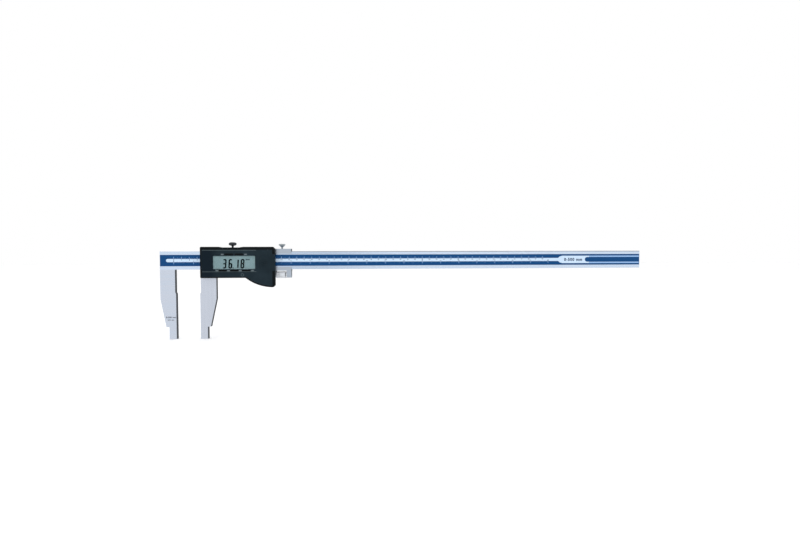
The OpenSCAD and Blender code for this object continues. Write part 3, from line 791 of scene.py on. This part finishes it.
CM = 10 * MM
CM_COUNT = 50
INCH = 25.4 * MM
INCH_COUNT = 20
STRIP_START_X = SCALE_ZERO_X - 9.7 * MM
STRIP_HALF_H = 2.15 * MM
STRIP_FRONT = BAND_FRONT - PRINT_T
PLATE_START_X = SCALE_ZERO_X + 522.7 * MM
PLATE_SHOULDER = 6 * MM
PLATE_HALF_H = 5.2 * MM
PLATE_TEXT = ("0-500 mm", 4.4 * MM, SCALE_ZERO_X + 544.5 * MM)
FILL_START_X = SCALE_ZERO_X + 561.6 * MM
FILL_HALF_H = 3.3 * MM
PALE_START_X = FILL_START_X + 6 * MM
PALE_HALF_H = 5.3 * MM
NUMBER_H = 1.5 * MM
NUMBER_Z = 0.82 * MM

# Each kind of mark: the divisor of the unit, then the mark's length and width in millimetres.
# A negative length lies on the strip.
METRIC_MARKS = ((10, 2.6, 0.5), (5, 2.1, 0.12), (1, 1.4, 0.08))
METRIC_MARKS_ON_STRIP = ((10, -0.65, 0.4), (5, -0.65, 0.3), (1, -0.5, 0.24))
INCH_MARKS = ((16, 2.6, 0.5), (8, 2.1, 0.12), (4, 1.7, 0.1), (1, 1.2, 0.07))
INCH_MARKS_ON_STRIP = ((16, -0.65, 0.45), (8, -0.65, 0.35), (1, -0.5, 0.3))


def scale_strip():
    """White strip with a rounded left end. It widens into a plate near the right end, where the
    blue fill cuts a round notch into it."""
    bm = bmesh.new()
    z = BAND_Z
    nose = arc((STRIP_START_X + STRIP_HALF_H, z), STRIP_HALF_H, 90, 270)
    lower = [
        (PLATE_START_X, z - STRIP_HALF_H),
        (PLATE_START_X + PLATE_SHOULDER * 0.35, z - PLATE_HALF_H * 0.78),
        (PLATE_START_X + PLATE_SHOULDER, z - PLATE_HALF_H),
        (PALE_START_X, z - PLATE_HALF_H),
        (PALE_START_X, z - FILL_HALF_H),
    ]
    notch = arc((FILL_START_X + FILL_HALF_H, z), FILL_HALF_H, 270, 90)
    upper = [(x, 2 * z - h) for x, h in reversed(lower)]
    add_prism(bm, nose + lower + notch + upper, STRIP_FRONT, BAND_FRONT)
    mesh = finished(bm, "scale_white_strip")
    new_piece("scale_white_strip", mesh, "beam", "white_print")


def end_stripes():
    """Two pale stripes beside the blue fill at the right end of the scale."""
    bm = bmesh.new()
    gap = 0.1 * MM
    margin = 0.5 * MM
    for side in (-1, 1):
        edges = sorted((BAND_Z + side * (FILL_HALF_H + gap), BAND_Z + side * PALE_HALF_H))
        low = (PALE_START_X, BAND_FRONT - PRINT_T, edges[0])
        add_box(bm, low, (LABEL_HIGH.x - margin, BAND_FRONT, edges[1]))
    mesh = finished(bm, "scale_end_stripes")
    new_piece("scale_end_stripes", mesh, "beam", "pale_print")


def tick_row(name, material, unit, count, marks, side, y_back):
    """Marks that start at the white strip's upper edge, or at its lower one if side is -1."""
    bm = bmesh.new()
    parts = marks[0][0]  # the first kind of mark stands at whole units
    start = BAND_Z + side * STRIP_HALF_H
    for i in range(count * parts + 1):
        length, width = next(size for divisor, *size in marks if i % divisor == 0)
        x = SCALE_ZERO_X + i * unit / parts
        edges = sorted((start, BAND_Z + side * (STRIP_HALF_H + length * MM)))
        low = (x - width / 2 * MM, y_back - PRINT_T, edges[0])
        add_box(bm, low, (x + width / 2 * MM, y_back, edges[1]))
    new_piece(name, finished(bm, name), "beam", material)


def scale_numbers():
    """The numbers of both rows and the measuring range on the plate."""
    bm = bmesh.new()
    layer = (STRIP_FRONT - PRINT_T, STRIP_FRONT)
    for unit, count, z in ((CM, CM_COUNT, NUMBER_Z), (INCH, INCH_COUNT, -NUMBER_Z)):
        for i in range(count + 1):
            add_text(bm, str(i), NUMBER_H, SCALE_ZERO_X + i * unit, BAND_Z + z, *layer)
    add_text(bm, *PLATE_TEXT, BAND_Z, *layer)
    new_piece("scale_numbers", finished(bm, "scale_numbers"), "beam", "dark_print")


def printed_scale():
    scale_strip()
    end_stripes()
    metric, inch = (CM, CM_COUNT), (INCH, INCH_COUNT)
    tick_row("scale_marks_metric", "pale_print", *metric, METRIC_MARKS, 1, BAND_FRONT)
    tick_row("scale_marks_inch", "pale_print", *inch, INCH_MARKS, -1, BAND_FRONT)
    tick_row("strip_marks_metric", "blue_print", *metric, METRIC_MARKS_ON_STRIP, 1, STRIP_FRONT)
    tick_row("strip_marks_inch", "blue_print", *inch, INCH_MARKS_ON_STRIP, -1, STRIP_FRONT)
    scale_numbers()


# ---------- display ----------

SEGMENTS = {"1": "bc", "3": "abgcd", "6": "afedcg", "8": "abcdefg"}
READING = (("3", 67.4), ("6", 74.9), ("1", 83.1), ("8", 90.4))  # digits and their right ends in mm
DIGIT_W = 5.0 * MM
DIGIT_TOP = BAND_Z + 1.8 * MM
DIGIT_BOTTOM = BAND_Z - 10.7 * MM
DIGIT_MIDDLE = (DIGIT_TOP + DIGIT_BOTTOM) / 2
SEGMENT_T = 1.9 * MM
SLANT = math.tan(math.radians(3.5))
DOT = 1.2 * MM
DOT_X = 75.6 * MM
UNIT_TEXT = ("mm", 1.7 * MM, 94.6 * MM, DIGIT_TOP - 0.8 * MM)
INK_FRONT = LCD_LOW.y - 0.03 * MM
INK_BACK = LCD_LOW.y - 0.005 * MM


def slanted(x, z):
    """Leans a point of the reading to the right, about the digits' middle height."""
    return x + (z - DIGIT_MIDDLE) * SLANT, z


def add_segment(bm, a, b):
    """Bar with blunt pointed ends that just reach the next bar, between two points in X and Z."""
    along = (Vector(b) - Vector(a)).normalized()
    across = Vector((-along.y, along.x)) * SEGMENT_T / 2
    reach = along * SEGMENT_T * 0.2
    tip = along * SEGMENT_T * 0.35
    a, b = Vector(a) - reach, Vector(b) + reach
    points = [a, a + tip + across, b - tip + across, b, b - tip - across, a + tip - across]
    add_prism(bm, [slanted(p.x, p.y) for p in points], INK_FRONT, INK_BACK)


def reading():
    """The display's digits, decimal point and unit, standing just off the glass."""
    bm = bmesh.new()
    half = SEGMENT_T / 2
    top, middle, bottom = DIGIT_TOP - half, DIGIT_MIDDLE, DIGIT_BOTTOM + half
    for digit, right in READING:
        x1 = right * MM - half
        x0 = x1 - DIGIT_W + SEGMENT_T
        lines = {
            "a": ((x0, top), (x1, top)),
            "b": ((x1, middle), (x1, top)),
            "c": ((x1, bottom), (x1, middle)),
            "d": ((x0, bottom), (x1, bottom)),
            "e": ((x0, bottom), (x0, middle)),
            "f": ((x0, middle), (x0, top)),
            "g": ((x0, middle), (x1, middle)),
        }
        for segment in SEGMENTS[digit]:
            add_segment(bm, *lines[segment])
    dot_right, dot_top = DOT_X + DOT, DIGIT_BOTTOM + DOT
    dot = ((DOT_X, DIGIT_BOTTOM), (dot_right, DIGIT_BOTTOM), (dot_right, dot_top), (DOT_X, dot_top))
    add_prism(bm, [slanted(x, z) for x, z in dot], INK_FRONT, INK_BACK)
    add_text(bm, *UNIT_TEXT, INK_FRONT, INK_BACK)
    new_piece("lcd_reading", finished(bm, "lcd_reading"), "slider", "ink")


# ---------- stage, light and camera ----------

CAMERA_X = 232.45 * MM
CAMERA_FROM_BEAM = 716 * MM
CAMERA_ABOVE_BAND = -2.42 * MM
CAMERA_YAW = 5.15  # this and the next two are in degrees
CAMERA_PITCH = -2.0
CAMERA_ROLL = -0.19
LENS = 23.626
SENSOR_W = 36
NEAREST = 10 * MM

FLOOR_HALF_W = 30
FLOOR_GAP = 0.2 * MM
FLOOR_GLOW = 0.07

FRONT_BRIGHTNESS = 0.95
CARD_BRIGHTNESS = 0.3
CARD_DIRECTION = (0.25, 0.97, -0.06)
CARD_EDGE = 55  # degrees from the card's direction to where it has faded out
CARD_CORE = 25  # degrees to where it starts to fade

LIT_POINT = (0.3, 0, BAND_Z)
# Each light's place and size in metres, and its power in watts.
LIGHTS = {
    "key_light": ((-0.4, -1.4, 1.5), (1.4, 1.0), 6),
    "top_light": ((0.5, 0.3, 1.8), (2.0, 1.0), 5),
}


def camera():
    """The photo's view: level with the beam, left of its middle and turned a little to the right."""
    data = bpy.data.cameras.new("camera")
    data.lens = LENS
    data.sensor_width = SENSOR_W
    data.clip_start = NEAREST
    holder = bpy.data.objects.new("camera", data)
    bpy.context.scene.collection.objects.link(holder)
    holder.location = (CAMERA_X, BEAM_LOW.y - CAMERA_FROM_BEAM, BAND_Z + CAMERA_ABOVE_BAND)
    yaw = Matrix.Rotation(math.radians(-CAMERA_YAW), 4, "Z")
    pitch = Matrix.Rotation(math.radians(90 + CAMERA_PITCH), 4, "X")
    roll = Matrix.Rotation(math.radians(CAMERA_ROLL), 4, "Z")
    holder.rotation_euler = (yaw @ pitch @ roll).to_euler()
    bpy.context.scene.camera = holder


def floor():
    """A white floor just under the object, which reflections on the object don't show."""
    mesh = bpy.data.meshes.new("floor")
    half = FLOOR_HALF_W
    z = CAD_BOX[0].z - FLOOR_GAP
    corners = [(-half, -half, z), (half, -half, z), (half, half, z), (-half, half, z)]
    mesh.from_pydata(corners, [], [(0, 1, 2, 3)])
    holder = bpy.data.objects.new("floor", mesh)
    bpy.context.scene.collection.objects.link(holder)
    s = Shader("floor")
    colour = s.blend(s.levels(s.noise(3.0), 0.3, 0.7), (0.93, 0.93, 0.94), (0.95, 0.95, 0.95))
    s.set(Base_Color=colour, Roughness=0.9)
    s.set(Emission_Color=(1.0, 1.0, 1.0), Emission_Strength=FLOOR_GLOW)
    holder.data.materials.append(s.material)
    holder.visible_glossy = False


def area_light(name, place, size, power):
    """A rectangular light that faces the lit point."""
    data = bpy.data.lights.new(name, "AREA")
    data.shape = "RECTANGLE"
    data.size, data.size_y = size
    data.energy = power
    holder = bpy.data.objects.new(name, data)
    bpy.context.scene.collection.objects.link(holder)
    holder.location = place
    towards = Vector(LIT_POINT) - Vector(place)
    holder.rotation_euler = towards.to_track_quat("-Z", "Y").to_euler()


def studio():
    """A white studio. The camera and matt surfaces see plain white, while reflections see
    a bright front and a dark card behind the object, which draws the dark side faces."""
    world = bpy.data.worlds.new("studio")
    bpy.context.scene.world = world
    world.use_nodes = True
    nodes, links = world.node_tree.nodes, world.node_tree.links
    nodes.clear()
    direction = nodes.new("ShaderNodeTexCoord")
    toward_card = nodes.new("ShaderNodeVectorMath")
    toward_card.operation = "DOT_PRODUCT"
    links.new(direction.outputs["Generated"], toward_card.inputs[0])
    toward_card.inputs[1].default_value = Vector(CARD_DIRECTION).normalized()
    card = nodes.new("ShaderNodeMapRange")
    card.interpolation_type = "SMOOTHSTEP"
    card.inputs["From Min"].default_value = math.cos(math.radians(CARD_EDGE))
    card.inputs["From Max"].default_value = math.cos(math.radians(CARD_CORE))
    card.inputs["To Min"].default_value = FRONT_BRIGHTNESS
    card.inputs["To Max"].default_value = CARD_BRIGHTNESS
    links.new(toward_card.outputs["Value"], card.inputs["Value"])
    path = nodes.new("ShaderNodeLightPath")
    mix = nodes.new("ShaderNodeMix")
    mix.data_type = "FLOAT"
    links.new(path.outputs["Is Glossy Ray"], mix.inputs[0])
    mix.inputs[2].default_value = 1.0
    links.new(card.outputs["Result"], mix.inputs[3])
    background = nodes.new("ShaderNodeBackground")
    background.inputs["Color"].default_value = (1, 1, 1, 1)
    links.new(mix.outputs[0], background.inputs["Strength"])
    out = nodes.new("ShaderNodeOutputWorld")
    links.new(background.outputs[0], out.inputs[0])
    for name, light in LIGHTS.items():
        area_light(name, *light)
    bpy.context.scene.view_settings.view_transform = "Standard"


dress_cad_nodes()
locking_screw()
clamp_screw()
adjusting_nut()
adjusting_screw()
printed_scale()
key_marks()
face_lines()
cover_grip()
jaw_marks()
reading()
floor()
studio()
camera()
